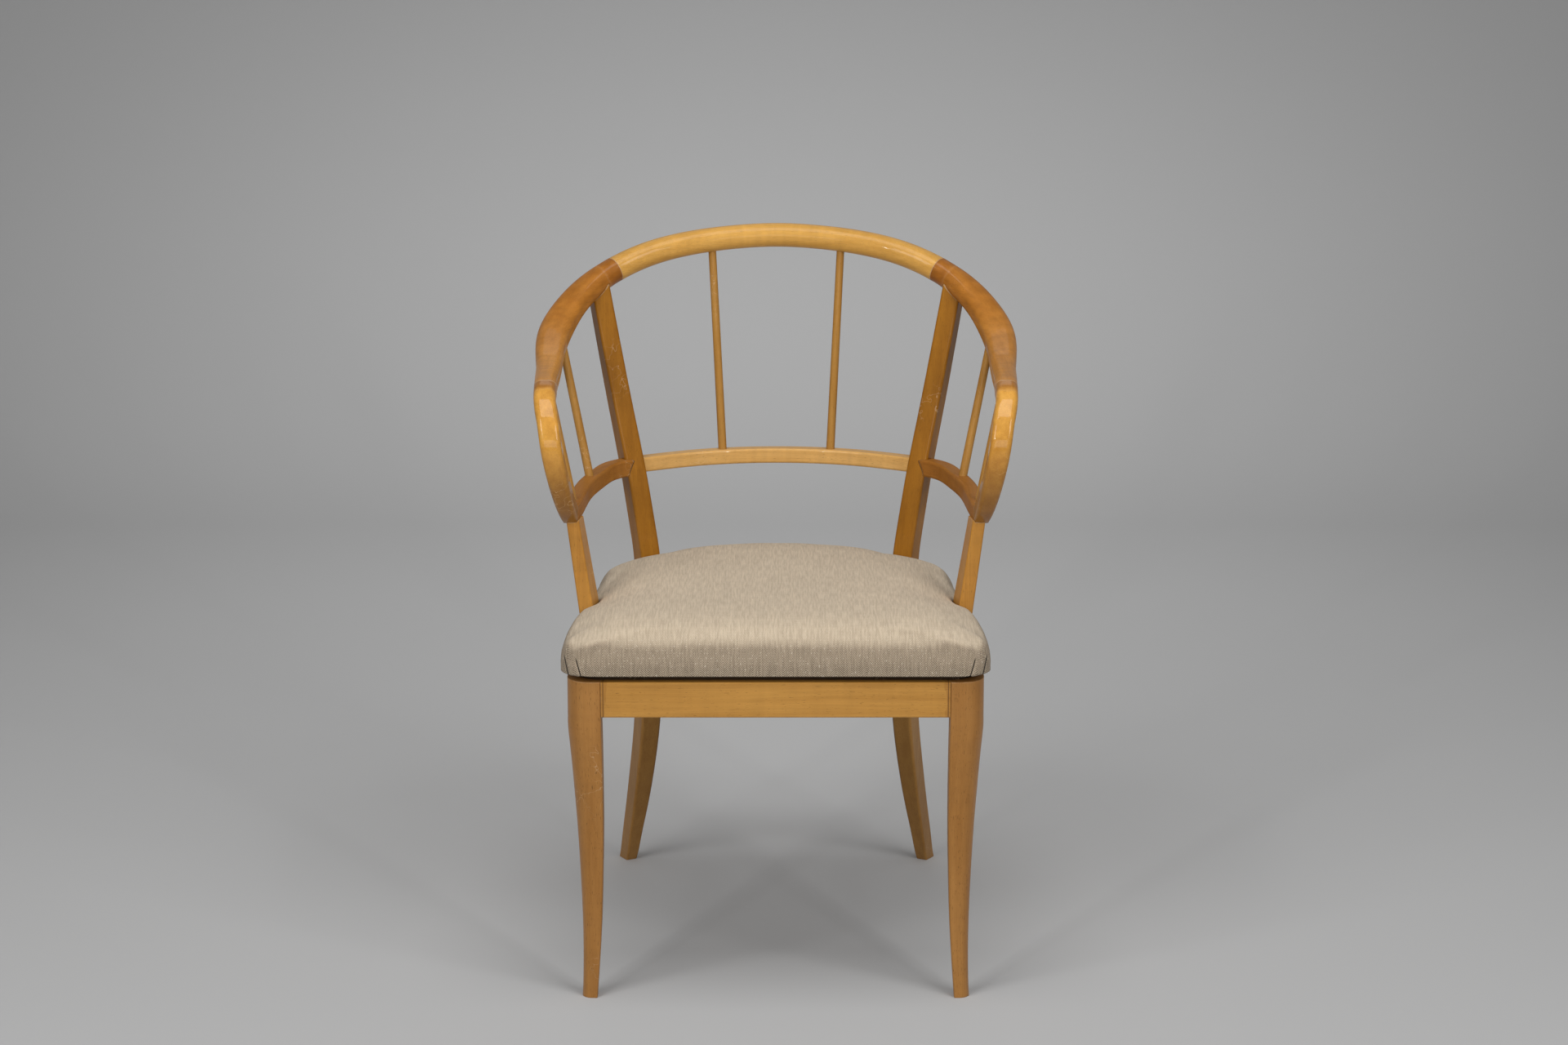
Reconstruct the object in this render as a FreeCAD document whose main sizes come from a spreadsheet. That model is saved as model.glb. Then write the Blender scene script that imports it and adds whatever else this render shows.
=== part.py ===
import FreeCAD, Part
import math
import os
import Sketcher

# Low-backed armchair with a one-line bow for arms and back, a spindle-filled horseshoe
# rail, sabre legs and an upholstered seat pad.
# Depth is measured backwards from the front face of the front seat rail while a piece is
# drawn, and place() moves it so that the origin is under the middle of the whole chair.
# Pieces are drawn on the right-hand side, at positive X, and mirrored to the left.

Vector = FreeCAD.Vector
UP = Vector(0, 0, 1)
RIGHT = Vector(1, 0, 0)

# Driving dimensions in millimetres, angles in degrees.
DIMENSIONS = (
    # Seat frame
    ("seat_rail_top", 384.5),
    ("seat_rail_height", 41.5),
    ("seat_rail_thickness", 22.0),
    ("back_rail_thickness", 20.0),
    ("rail_edge_radius", 1.5),
    ("front_leg_gap", 397.0),
    ("side_rail_front_offset", 3.0),
    ("side_rail_rear_half_width", 171.5),
    ("side_rail_setback", 3.0),
    ("back_rail_front_depth", 443.0),
    ("tenon_thickness", 9.0),
    ("tenon_length", 20.0),
    ("tenon_shoulder", 6.0),
    ("mortise_spare", 1.5),
    # Front legs
    ("front_leg_width", 39.0),
    ("front_leg_block", 46.5),
    ("front_leg_edge_radius", 2.0),
    ("front_leg_corner_radius", 27.0),
    # Rear posts
    ("rear_foot_half_spread", 193.0),
    ("rear_foot_depth", 543.0),
    ("rear_foot_width", 15.0),
    ("rear_foot_length", 21.0),
    ("rear_foot_turn", 30.0),
    ("rear_post_width", 25.8),
    ("rear_post_length", 28.9),
    ("rear_post_turn", 25.0),
    ("rear_post_half_spread", 161.5),
    ("rear_post_depth", 449.0),
    ("rear_post_edge_radius", 3.2),
    ("post_tenon_diameter", 14.0),
    ("post_tenon_length", 30.0),
    ("post_tenon_rise", 4.0),
    # Bow: crest, shoulders and arm fronts
    ("bow_half_width", 272.5),
    ("bow_back_depth", 533.0),
    ("arm_joint_depth", 185.0),
    ("bow_crest_height", 816.5),
    ("arm_height", 685.5),
    ("crest_diameter", 29.4),
    ("paddle_width", 40.0),
    ("arm_front_reach", 52.0),
    # Middle horseshoe rail
    ("mid_rail_top", 549.0),
    ("side_mid_rail_height", 21.0),
    ("back_mid_rail_height", 18.5),
    ("mid_rail_thickness", 18.5),
    ("mid_rail_edge_radius", 3.0),
    ("mid_rail_back_depth", 518.0),
    ("mid_rail_tip_depth", 185.5),
    ("mid_rail_tip_half_width", 241.0),
    # Arm posts
    ("arm_post_thickness", 19.5),
    ("arm_post_length", 41.0),
    ("arm_post_top_thickness", 15.5),
    ("arm_post_top_length", 26.0),
    ("arm_post_turn", 10.0),
    ("arm_post_depth", 193.0),
    ("arm_post_top_half_spread", 235.8),
    ("arm_post_foot_half_spread", 208.7),
    ("arm_post_edge_radius", 2.2),
    ("arm_tenon_length", 9.0),
    ("arm_tenon_thickness", 7.0),
    ("arm_tenon_width", 14.0),
    ("arm_tenon_inset", 2.5),
    ("arm_post_seating", 4.0),
    # Spindles
    ("spindle_diameter", 10.6),
    ("spindle_head_diameter", 9.6),
    # Seat pad
    ("pad_half_width", 245.0),
    ("pad_front_overhang", 6.0),
    ("pad_back_depth", 490.0),
    ("pad_bottom", 391.5),
    ("pad_edge_height", 434.0),
    ("pad_crown", 11.0),
    ("board_thickness", 12.0),
    ("board_inset", 18.0),
    ("cover_thickness", 1.4),
    ("soft_gap", 0.3),
    # Corner blocks
    ("block_height", 30.0),
    ("block_drop", 4.0),
    ("block_reach", 46.0),
    # Dowels and screws
    ("dowel_diameter", 8.0),
    ("dowel_length", 26.0),
    ("small_dowel_diameter", 6.0),
    ("small_dowel_length", 22.0),
    ("screw_diameter", 4.0),
    ("screw_head_diameter", 8.0),
    ("screw_head_height", 2.4),
    ("seat_screw_length", 42.0),
    ("block_screw_length", 44.0),
    ("arm_screw_length", 26.0),
)

# Front leg from the top block down: share of the height below the block, then the
# outer, inner, front and back faces as shares of the top width, measured from the
# inner face outwards and from the front face backwards.
FRONT_LEG_SHARES = (
    (1.000, 1.000, 0.000, 0.000, 1.000),
    (0.955, 0.990, -0.006, 0.010, 1.000),
    (0.845, 0.905, -0.018, 0.085, 0.990),
    (0.615, 0.760, -0.022, 0.250, 0.965),
    (0.385, 0.665, 0.020, 0.365, 0.940),
    (0.235, 0.632, 0.075, 0.420, 0.925),
    (0.090, 0.640, 0.158, 0.452, 0.920),
    (0.000, 0.672, 0.215, 0.460, 0.920),
)

# Rear post from the floor to the seat: share of the seat level, then how far the
# sideways place, the backward place and the section have changed towards the foot.
REAR_LEG_SHARES = (
    (0.00, 1.00, 1.00, 1.00),
    (0.12, 0.73, 0.74, 0.66),
    (0.30, 0.36, 0.43, 0.22),
    (0.50, 0.06, 0.18, 0.00),
    (0.70, -0.03, 0.03, -0.06),
    (0.88, -0.04, -0.02, -0.06),
    (1.00, 0.00, 0.00, 0.00),
)

# Rear post from the seat to the bow: share of the way up, then how far the sideways
# place, the backward place, the section and the turn have changed towards the bow.
REAR_BACK_SHARES = (
    (0.16, 0.13, 0.14, 0.12, 0.00),
    (0.33, 0.29, 0.34, 0.30, 0.10),
    (0.63, 0.62, 0.70, 0.62, 0.48),
    (1.00, 1.00, 1.00, 1.00, 1.00),
)
POST_TOP_STATION = 4.50
POST_TOP_SECTION_SHARE = 0.93
POST_TOP_TURN_SHARE = 0.72
SEAT_LEVEL_SHARE = 1.10

# Half of the bow from the middle of the crest to the arm joint: shares of the half
# width, of the depth from crest to joint and of the drop from crest to arm, then the
# half width and half height of the section as shares of the crest diameter and its
# roundness.
BOW_SHARES = (
    (0.000, 0.000, 1.000, 0.495, 0.500, 0.94),
    (0.188, 0.005, 0.982, 0.495, 0.500, 0.94),
    (0.372, 0.026, 0.940, 0.500, 0.506, 0.94),
    (0.556, 0.063, 0.861, 0.510, 0.514, 0.93),
    (0.732, 0.127, 0.722, 0.535, 0.520, 0.90),
    (0.878, 0.227, 0.528, 0.620, 0.516, 0.83),
    (0.976, 0.374, 0.283, 0.680, 0.484, 0.75),
    (0.999, 0.517, 0.140, 0.610, 0.462, 0.70),
    (0.995, 0.661, 0.047, 0.520, 0.448, 0.68),
    (0.988, 0.905, 0.012, 0.456, 0.442, 0.66),
    (0.984, 1.000, 0.000, 0.450, 0.440, 0.66),
)
CREST_STATION = 4
PADDLE_ROW = 6

# Arm front from the arm joint to the mitre: shares of the inward step, of the forward
# reach and of the drop to the middle rail, then the section as before.
ARM_FRONT_SHARES = (
    (0.010, 0.288, 0.027, 0.440, 0.436, 0.64),
    (0.040, 0.519, 0.078, 0.438, 0.428, 0.60),
    (0.190, 0.846, 0.201, 0.432, 0.418, 0.54),
    (0.330, 1.000, 0.371, 0.422, 0.411, 0.48),
    (0.505, 0.962, 0.554, 0.408, 0.404, 0.46),
    (0.705, 0.750, 0.738, 0.391, 0.391, 0.44),
    (0.860, 0.433, 0.881, 0.360, 0.375, 0.40),
)

# Half of the middle rail in plan from its tip to the middle of the back, as shares of
# the tip's half width and of the depth from tip to back.
MID_RAIL_SHARES = (
    (1.000, 0.000),
    (0.981, 0.164),
    (0.954, 0.410),
    (0.896, 0.615),
    (0.855, 0.711),
    (0.751, 0.802),
    (0.606, 0.872),
    (0.432, 0.937),
    (0.224, 0.984),
    (0.000, 1.000),
)
RAIL_POST_STATION = 5
BACK_RAIL_START_SHARE = 0.2
SIDE_DOWEL_STATION = 4.62
BACK_DOWEL_STATION = 5.30

# Half of the seat pad in plan: the middle and the end of each arc, as shares of the
# half width and of the depth from front to back.
PAD_FRONT_SHARES = (0.870, 0.000)
PAD_ARC_SHARES = (
    ((0.964, 0.020), (0.998, 0.078)),
    ((0.992, 0.205), (0.946, 0.375)),
    ((0.902, 0.560), (0.884, 0.712)),
    ((0.826, 0.808), (0.694, 0.868)),
)

# Slices of the pad from its underside to the crown: share of the edge height, drawing
# in of the outline in crowns, and share of the crown.
PAD_SLICE_SHARES = (
    (0.00, 0.28, 0.00),
    (0.07, 0.05, 0.00),
    (0.32, 0.00, 0.00),
    (0.62, 0.06, 0.00),
    (0.86, 0.40, 0.00),
    (1.00, 1.05, 0.00),
    (1.00, 1.90, 0.24),
    (1.00, 2.90, 0.44),
    (1.00, 4.10, 0.63),
    (1.00, 5.50, 0.79),
    (1.00, 7.00, 0.91),
    (1.00, 8.20, 0.96),
    (1.00, 8.90, 0.98),
    (1.00, 9.20, 0.99),
)

# Spindles: station along the middle rail, station along the bow, and how far inside
# the bow's middle line the head sits, as a share of the bow's half width.
SPINDLE_SHARES = (
    ("back_spindle", 7.74, 1.59, 0.00),
    ("side_spindle", 2.41, 6.75, 0.76),
    ("front_spindle", 0.54, 8.88, 0.20),
)
SPINDLE_HEAD_SHARE = 0.45

# Places of the fasteners. Screws of the corner blocks: share of the block's reach from
# the corner sideways and along, then share of the diagonal face. Dowels and arm screws:
# shares of the rail's height, and of the arm post's length.
FRONT_SEAT_SCREW_SHARES = (0.62, 0.24)
REAR_SEAT_SCREW_SHARES = (0.60, 0.15)
FRONT_BLOCK_SCREW_SHARE = 0.40
REAR_BLOCK_SCREW_SHARE = 0.50
DOWEL_HEIGHT_SHARES = (0.25, 0.75)
BACK_DOWEL_DEPTH_SHARE = 0.65
MITRE_DOWEL_SHARE = 0.14
ARM_SCREW_SHARES = ((-0.22, 0.76), (0.22, 0.26))

# How many sections each curved piece is lofted through, for its whole length or for
# each station of its middle line.
LEG_RINGS = 12
POST_RINGS = 22
BOW_RINGS_PER_STATION = 2
RAIL_RINGS_PER_STATION = 3

# Length of the straight run to the tip of a quarter curve that its inner poles take.
QUARTER_SHARE = 4 * (math.sqrt(2) - 1) / 3

os.makedirs("parts", exist_ok=True)
doc = FreeCAD.newDocument("Armchair")
sheet = doc.addObject("Spreadsheet::Sheet", "Sizes")
size = {}


def keep(name, value):
    """Add one row to the sheet and to the table that the script reads."""
    row = len(size) + 1
    sheet.set("A%d" % row, name)
    sheet.set("B%d" % row, "%.6f" % value)
    sheet.setAlias("B%d" % row, name)
    size[name] = value
    return value


for dimension, amount in DIMENSIONS:
    keep(dimension, amount)
rear_turn = math.radians(size["rear_foot_turn"])
foot_edge = size["rear_post_edge_radius"] * size["rear_foot_width"] / size["rear_post_width"]
foot_reach = (
    (size["rear_foot_width"] / 2 - foot_edge) * math.sin(rear_turn)
    + (size["rear_foot_length"] / 2 - foot_edge) * math.cos(rear_turn)
    + foot_edge
)
crest_reach = size["bow_back_depth"] + BOW_SHARES[0][3] * size["crest_diameter"]
rear_reach = max(size["rear_foot_depth"] + foot_reach, crest_reach)
keep("origin_depth", (rear_reach - size["pad_front_overhang"]) / 2)
keep("side_mid_rail_middle", size["mid_rail_top"] - size["side_mid_rail_height"] / 2)
keep("back_mid_rail_middle", size["mid_rail_top"] - size["back_mid_rail_height"] / 2)
keep("seat_rail_bottom", size["seat_rail_top"] - size["seat_rail_height"])
keep("front_leg_inner", size["front_leg_gap"] / 2)
keep("front_leg_outer", size["front_leg_inner"] + size["front_leg_width"])
doc.recompute()


def place(x, depth, z):
    """Point of the part's own frame from a place measured back from the front rail."""
    return Vector(x, depth - size["origin_depth"], z)


def unit(vector):
    return Vector(vector).normalize()


def feature(label, shape):
    """Piece whose shape is lofted from its named sizes."""
    item = doc.addObject("Part::Feature", label)
    item.Label = label
    item.Shape = shape
    item.Placement = FreeCAD.Placement()
    return item


def fuse(label, shapes):
    item = doc.addObject("Part::MultiFuse", label)
    item.Label = label
    item.Shapes = shapes
    return item


def cut(label, base, tools):
    """Base with every tool taken away from it."""
    item = doc.addObject("Part::Cut", label)
    item.Label = label
    item.Base = base
    item.Tool = tools[0] if len(tools) == 1 else fuse(label + "_tools", tools)
    return item


def mirrored(label, source):
    """The same piece on the left-hand side."""
    item = doc.addObject("Part::Mirroring", label)
    item.Label = label
    item.Source = source
    item.Normal = RIGHT
    return item


def group(label, sources):
    """Identical fasteners of both sides in one node."""
    twins = [mirrored("%s_twin_%d" % (label, number), item) for number, item in enumerate(sources)]
    item = doc.addObject("Part::Compound", label)
    item.Label = label
    item.Links = list(sources) + twins
    return item


def round_bar(label, start, direction, length, diameter):
    """Cylinder whose length and diameter are cells of the sheet."""
    item = doc.addObject("Part::Cylinder", label)
    item.setExpression("Height", "Sizes.%s" % length)
    item.setExpression("Radius", "Sizes.%s / 2" % diameter)
    item.Placement = FreeCAD.Placement(start, FreeCAD.Rotation(UP, direction))
    return item


def dowel(label, center, direction, length, diameter):
    """Dowel centred on the face that it crosses."""
    start = center - unit(direction) * (size[length] / 2)
    return round_bar(label, start, direction, length, diameter)


def screw(label, start, direction, length):
    """Wood screw with a low cone for a head, the head's underside at the start."""
    shank = round_bar(label + "_shank", start, direction, length, "screw_diameter")
    head = doc.addObject("Part::Cone", label + "_head")
    head.setExpression("Radius1", "Sizes.screw_head_diameter / 2")
    head.setExpression("Radius2", "Sizes.screw_head_diameter / 2 - Sizes.screw_head_height / 2")
    head.setExpression("Height", "Sizes.screw_head_height")
    head.Placement = FreeCAD.Placement(start, FreeCAD.Rotation(UP, direction * -1))
    return fuse(label, [shank, head])


def bar(label, corner, turn, length, width, height):
    """Box from its lowest corner, turned about the vertical; its sizes are expressions."""
    item = doc.addObject("Part::Box", label)
    item.setExpression("Length", length)
    item.setExpression("Width", width)
    item.setExpression("Height", height)
    item.Placement = FreeCAD.Placement(corner, FreeCAD.Rotation(UP, turn))
    return item


def outline_body(label, corners, bottom, height):
    """Board of even thickness whose plan corners and height are cells of the sheet."""
    body = doc.addObject("PartDesign::Body", label)
    body.Label = label
    body.setExpression("Placement.Base.y", "-Sizes.origin_depth")
    body.setExpression("Placement.Base.z", bottom)
    sketch = body.newObject("Sketcher::SketchObject", label + "_outline")
    plane = [entry for entry in body.Origin.OriginFeatures if entry.Role == "XY_Plane"][0]
    sketch.AttachmentSupport = [(plane, "")]
    sketch.MapMode = "FlatFace"
    count = len(corners)
    for number, (x, depth) in enumerate(corners):
        following = Vector(*corners[(number + 1) % count], 0)
        sketch.addGeometry(Part.LineSegment(Vector(x, depth, 0), following), False)
    for number in range(count):
        following = (number + 1) % count
        sketch.addConstraint(Sketcher.Constraint("Coincident", number, 2, following, 1))
    for number, corner in enumerate(corners):
        for kind, axis, value in (("DistanceX", "across", corner[0]), ("DistanceY", "back", corner[1])):
            cell = "%s_%s_%s" % (label, axis, "abcdefgh"[number])
            keep(cell, value)
            index = sketch.addConstraint(Sketcher.Constraint(kind, -1, 1, number, 1, value))
            sketch.setExpression("Constraints[%d]" % index, "Sizes." + cell)
    pad = body.newObject("PartDesign::Pad", label + "_thickness")
    pad.Profile = sketch
    pad.setExpression("Length", height)
    return body


def smooth(rows, key):
    """Row between the given rows at a key, the first entry, on smooth curves."""
    last = len(rows) - 2
    number = max([0] + [index for index in range(last + 1) if rows[index][0] <= key])
    start, end = rows[number], rows[number + 1]
    span = end[0] - start[0]
    share = (key - start[0]) / span
    rest = 1 - share

    def slope(index, entry):
        low = rows[max(index - 1, 0)]
        high = rows[min(index + 1, last + 1)]
        return (high[entry] - low[entry]) / (high[0] - low[0])

    result = []
    for entry in range(1, len(start)):
        result.append(
            start[entry] * rest * rest * (1 + 2 * share)
            + end[entry] * share * share * (1 + 2 * rest)
            + slope(number, entry) * span * share * rest * rest
            - slope(number + 1, entry) * span * share * share * rest
        )
    return result


def quarter(first, tip, last):
    """Quarter of an ellipse from one edge of a section to the next, round a corner."""
    curve = Part.BezierCurve()
    curve.setPoles([
        first,
        first + (tip - first) * QUARTER_SHARE,
        last + (tip - last) * QUARTER_SHARE,
        last,
    ])
    return curve.toShape()


def ring(center, side, rise, half_side, half_rise, corner_side, corner_rise):
    """Closed section: four straight edges joined by four quarter ellipses."""
    def spot(across, up):
        return center + side * across + rise * up

    edges = []
    quarters = ((1, 1), (-1, 1), (-1, -1), (1, -1))
    for number, (sign_side, sign_rise) in enumerate(quarters):
        tip = spot(sign_side * half_side, sign_rise * half_rise)
        on_side = spot(sign_side * half_side, sign_rise * (half_rise - corner_rise))
        on_rise = spot(sign_side * (half_side - corner_side), sign_rise * half_rise)
        first, last = (on_side, on_rise) if number % 2 == 0 else (on_rise, on_side)
        edges.append(quarter(first, tip, last))
        next_side, next_rise = quarters[(number + 1) % len(quarters)]
        if number % 2 == 0:
            end = spot(next_side * (half_side - corner_side), next_rise * half_rise)
        else:
            end = spot(next_side * half_side, next_rise * (half_rise - corner_rise))
        edges.append(Part.LineSegment(last, end).toShape())
    return Part.Wire(edges)


def path(points):
    """Smooth curve through the points, with the distance along it to each of them."""
    distances = [0.0]
    for first, second in zip(points, points[1:]):
        distances.append(distances[-1] + (second - first).Length)
    curve = Part.BSplineCurve()
    curve.interpolate(Points=points, Parameters=distances)
    return curve, distances


def spot_on(line, station):
    """Place and direction on a path, counted in its points from the first one."""
    curve, distances = line
    number = min(int(station), len(distances) - 2)
    step = distances[number + 1] - distances[number]
    distance = distances[number] + (station - number) * step
    return curve.value(distance), unit(curve.tangent(distance)[0])


def skin(rings):
    return Part.makeLoft(rings, True, False)


# Middle line of the whole bow, counted in stations: 0 is the middle of the crest, then
# one for each row down to the arm joint and on to the mitre with the middle rail.
bow_depth = size["bow_back_depth"] - size["arm_joint_depth"]
bow_drop = size["bow_crest_height"] - size["arm_height"]
crest_diameter = size["crest_diameter"]
ARM_JOINT = len(BOW_SHARES) - 1
MITRE = ARM_JOINT + len(ARM_FRONT_SHARES) + 1
mitre = place(
    size["mid_rail_tip_half_width"], size["mid_rail_tip_depth"], size["side_mid_rail_middle"]
)
bow_line = []
bow_section = []
widest = BOW_SHARES[PADDLE_ROW][3]
for station, (across, back, up, half_side, half_rise, roundness) in enumerate(BOW_SHARES):
    bow_line.append(place(
        across * size["bow_half_width"],
        size["bow_back_depth"] - back * bow_depth,
        size["arm_height"] + up * bow_drop,
    ))
    widening = max(0.0, half_side - BOW_SHARES[0][3]) / (widest - BOW_SHARES[0][3])
    half_side = half_side * crest_diameter
    half_side += widening * (size["paddle_width"] / 2 - widest * crest_diameter)
    bow_section.append((station, half_side, half_rise * crest_diameter, roundness))
arm_joint = bow_line[-1]
for row, (inward, forward, down, half_side, half_rise, roundness) in enumerate(ARM_FRONT_SHARES):
    bow_line.append(Vector(
        arm_joint.x + inward * (mitre.x - arm_joint.x),
        arm_joint.y - forward * size["arm_front_reach"],
        arm_joint.z + down * (mitre.z - arm_joint.z),
    ))
    bow_section.append((
        ARM_JOINT + 1 + row, half_side * crest_diameter, half_rise * crest_diameter, roundness
    ))
bow_line.append(mitre)
bow_section.append((
    MITRE,
    size["mid_rail_thickness"] / 2,
    size["side_mid_rail_height"] / 2,
    2 * size["mid_rail_edge_radius"] / size["side_mid_rail_height"],
))
left_line = [Vector(-spot.x, spot.y, spot.z) for spot in bow_line[:0:-1]]
bow_path = path(left_line + bow_line)

# Middle line of the horseshoe rail, counted in the same way from its right-hand tip.
rail_depth = size["mid_rail_back_depth"] - size["mid_rail_tip_depth"]
rail_line = []
for across, back in MID_RAIL_SHARES:
    rail_line.append(place(
        across * size["mid_rail_tip_half_width"],
        size["mid_rail_tip_depth"] + back * rail_depth,
        size["side_mid_rail_middle"],
    ))
RAIL_MIDDLE = len(MID_RAIL_SHARES) - 1
rail_line += [Vector(-spot.x, spot.y, spot.z) for spot in rail_line[RAIL_MIDDLE - 1::-1]]
rail_path = path(rail_line)
mitre_normal = unit(spot_on(bow_path, 2 * MITRE)[1] + spot_on(rail_path, 0)[1])


def bow_frame(station):
    """Middle, direction, outward side and upward side of the bow at a station."""
    center, along = spot_on(bow_path, MITRE + station)
    outward = RIGHT if station >= ARM_JOINT else UP.cross(along)
    side = unit(outward - along * outward.dot(along))
    return center, along, side, unit(along.cross(side))


def bow_ring(station):
    """Section of the bow, square to its middle line or along the mitre at its end."""
    center, along, side, rise = bow_frame(station)
    half_side, half_rise, roundness = smooth(bow_section, abs(station))
    if station == MITRE:
        half_rise = half_rise / mitre_normal.dot(along)
        side = unit(RIGHT - mitre_normal * RIGHT.dot(mitre_normal))
        rise = unit(mitre_normal.cross(side))
    return ring(
        center, side, rise, half_side, half_rise, roundness * half_side, roundness * half_rise
    )


def bow_piece(label, first, last):
    """Length of the bow between two stations, cut square there or mitred at the tip."""
    steps = BOW_RINGS_PER_STATION * (last - first)
    rings = []
    for number in range(steps + 1):
        station = first + (last - first) * number / steps
        rings.append(bow_ring(station))
    return feature(label, skin(rings))


def rail_ring(station, height, middle):
    """Upright section of the middle rail with eased edges, mitred at the tip."""
    center, along = spot_on(rail_path, station)
    center = Vector(center.x, center.y, middle)
    side = unit(along.cross(UP))
    rise = UP
    half_side = size["mid_rail_thickness"] / 2
    half_rise = height / 2
    edge_share = 2 * size["mid_rail_edge_radius"] / size["side_mid_rail_height"]
    if station == 0:
        half_rise = half_rise / mitre_normal.dot(along)
        side = unit(RIGHT - mitre_normal * RIGHT.dot(mitre_normal))
        rise = unit(side.cross(mitre_normal))
    return ring(
        center, side, rise, half_side, half_rise, edge_share * half_side, edge_share * half_rise
    )


def rail_piece(label, first, last, height, middle):
    steps = math.ceil(RAIL_RINGS_PER_STATION * (last - first))
    stations = [first + (last - first) * number / steps for number in range(steps + 1)]
    return feature(label, skin([rail_ring(station, height, middle) for station in stations]))


# Front leg: a straight block that takes the rails, and a sabre taper below it


def leg_ring(z, outer, inner, front, back):
    width = size["front_leg_width"]
    small = size["front_leg_edge_radius"]
    large = size["front_leg_corner_radius"] * min(outer - inner, back - front)
    spots = (
        (place(size["front_leg_inner"] + outer * width, back * width, z), small),
        (place(size["front_leg_inner"] + inner * width, back * width, z), small),
        (place(size["front_leg_inner"] + inner * width, front * width, z), small),
        (place(size["front_leg_inner"] + outer * width, front * width, z), large),
    )
    edges = []
    for number, (tip, radius) in enumerate(spots):
        following, following_radius = spots[(number + 1) % len(spots)]
        before = unit(spots[number - 1][0] - tip)
        after = unit(following - tip)
        end = tip + after * radius
        edges.append(quarter(tip + before * radius, tip, end))
        edges.append(Part.LineSegment(end, following - after * following_radius).toShape())
    return Part.Wire(edges)


block_bottom = size["seat_rail_top"] - size["front_leg_block"]
leg_rows = sorted(FRONT_LEG_SHARES)
leg_rings = []
for number in range(LEG_RINGS + 1):
    leg_share = number / LEG_RINGS
    leg_rings.append(leg_ring(leg_share * block_bottom, *smooth(leg_rows, leg_share)))
block_rings = [leg_rings[-1], leg_ring(size["seat_rail_top"], *leg_rows[-1][1:])]
front_leg_taper = feature("front_leg_taper", skin(leg_rings))
front_leg_block = feature("front_leg_block", Part.makeLoft(block_rings, True, True))
front_leg_blank = fuse("front_leg_blank", [front_leg_taper, front_leg_block])

# Rear post in one piece from the floor to the bow
post_top = spot_on(bow_path, MITRE + POST_TOP_STATION)[0]
seat_level = size["seat_rail_top"] * SEAT_LEVEL_SHARE


def post_row(z, out, back, taper, twist, spread, depth, section, turn):
    """Row of the post between its seat values and the given far values."""
    return (
        z,
        size["rear_post_half_spread"] + out * (spread - size["rear_post_half_spread"]),
        size["rear_post_depth"] + back * (depth - size["rear_post_depth"]),
        size["rear_post_width"] + taper * (section[0] - size["rear_post_width"]),
        size["rear_post_length"] + taper * (section[1] - size["rear_post_length"]),
        size["rear_post_turn"] + twist * (turn - size["rear_post_turn"]),
    )


foot_section = (size["rear_foot_width"], size["rear_foot_length"])
top_section = [
    POST_TOP_SECTION_SHARE * size[name] for name in ("rear_post_width", "rear_post_length")
]
post_rows = []
for share, out, back, taper in REAR_LEG_SHARES:
    post_rows.append(post_row(
        share * seat_level, out, back, taper, taper,
        size["rear_foot_half_spread"], size["rear_foot_depth"], foot_section,
        size["rear_foot_turn"],
    ))
for share, out, back, taper, twist in REAR_BACK_SHARES:
    post_rows.append(post_row(
        seat_level + share * (post_top.z - seat_level), out, back, taper, twist,
        post_top.x, post_top.y + size["origin_depth"], top_section,
        POST_TOP_TURN_SHARE * size["rear_post_turn"],
    ))


def post_center(z):
    x, depth = smooth(post_rows, z)[:2]
    return place(x, depth, z)


def post_shape(grow):
    """Rear post, or the room for it when it is grown."""
    rings = []
    for number in range(POST_RINGS + 1):
        z = post_top.z * number / POST_RINGS
        width, length, turn = smooth(post_rows, z)[2:]
        angle = math.radians(turn)
        corner = size["rear_post_edge_radius"] * width / size["rear_post_width"]
        rings.append(ring(
            post_center(z),
            Vector(math.cos(angle), -math.sin(angle), 0),
            Vector(math.sin(angle), math.cos(angle), 0),
            width / 2 + grow,
            length / 2 + grow,
            corner,
            corner,
        ))
    return skin(rings)


# Arm post, tapering and leaning outwards from the side rail to the middle rail
mid_rail_bottom = size["mid_rail_top"] - size["side_mid_rail_height"]
arm_post_lean = (size["arm_post_top_half_spread"] - size["arm_post_foot_half_spread"]) / (
    mid_rail_bottom - size["seat_rail_bottom"]
)
arm_turn = math.radians(size["arm_post_turn"])
arm_side = Vector(math.cos(arm_turn), math.sin(arm_turn), 0)
arm_back = Vector(-math.sin(arm_turn), math.cos(arm_turn), 0)


def arm_post_shape(grow, outward):
    """Arm post, or the room for it, which may be open to the outside."""
    corner = size["arm_post_edge_radius"]
    foot = (size["seat_rail_bottom"], size["arm_post_thickness"], size["arm_post_length"])
    top = (
        mid_rail_bottom + size["arm_post_seating"],
        size["arm_post_top_thickness"],
        size["arm_post_top_length"],
    )
    rings = []
    for z, thickness, length in (foot, top):
        x = size["arm_post_foot_half_spread"] + arm_post_lean * (z - size["seat_rail_bottom"])
        rings.append(ring(
            place(x, size["arm_post_depth"], z) + arm_side * (outward / 2),
            arm_side,
            arm_back,
            (thickness + outward) / 2 + grow,
            length / 2 + grow,
            corner,
            corner,
        ))
    return Part.makeLoft(rings, True, True)


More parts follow.
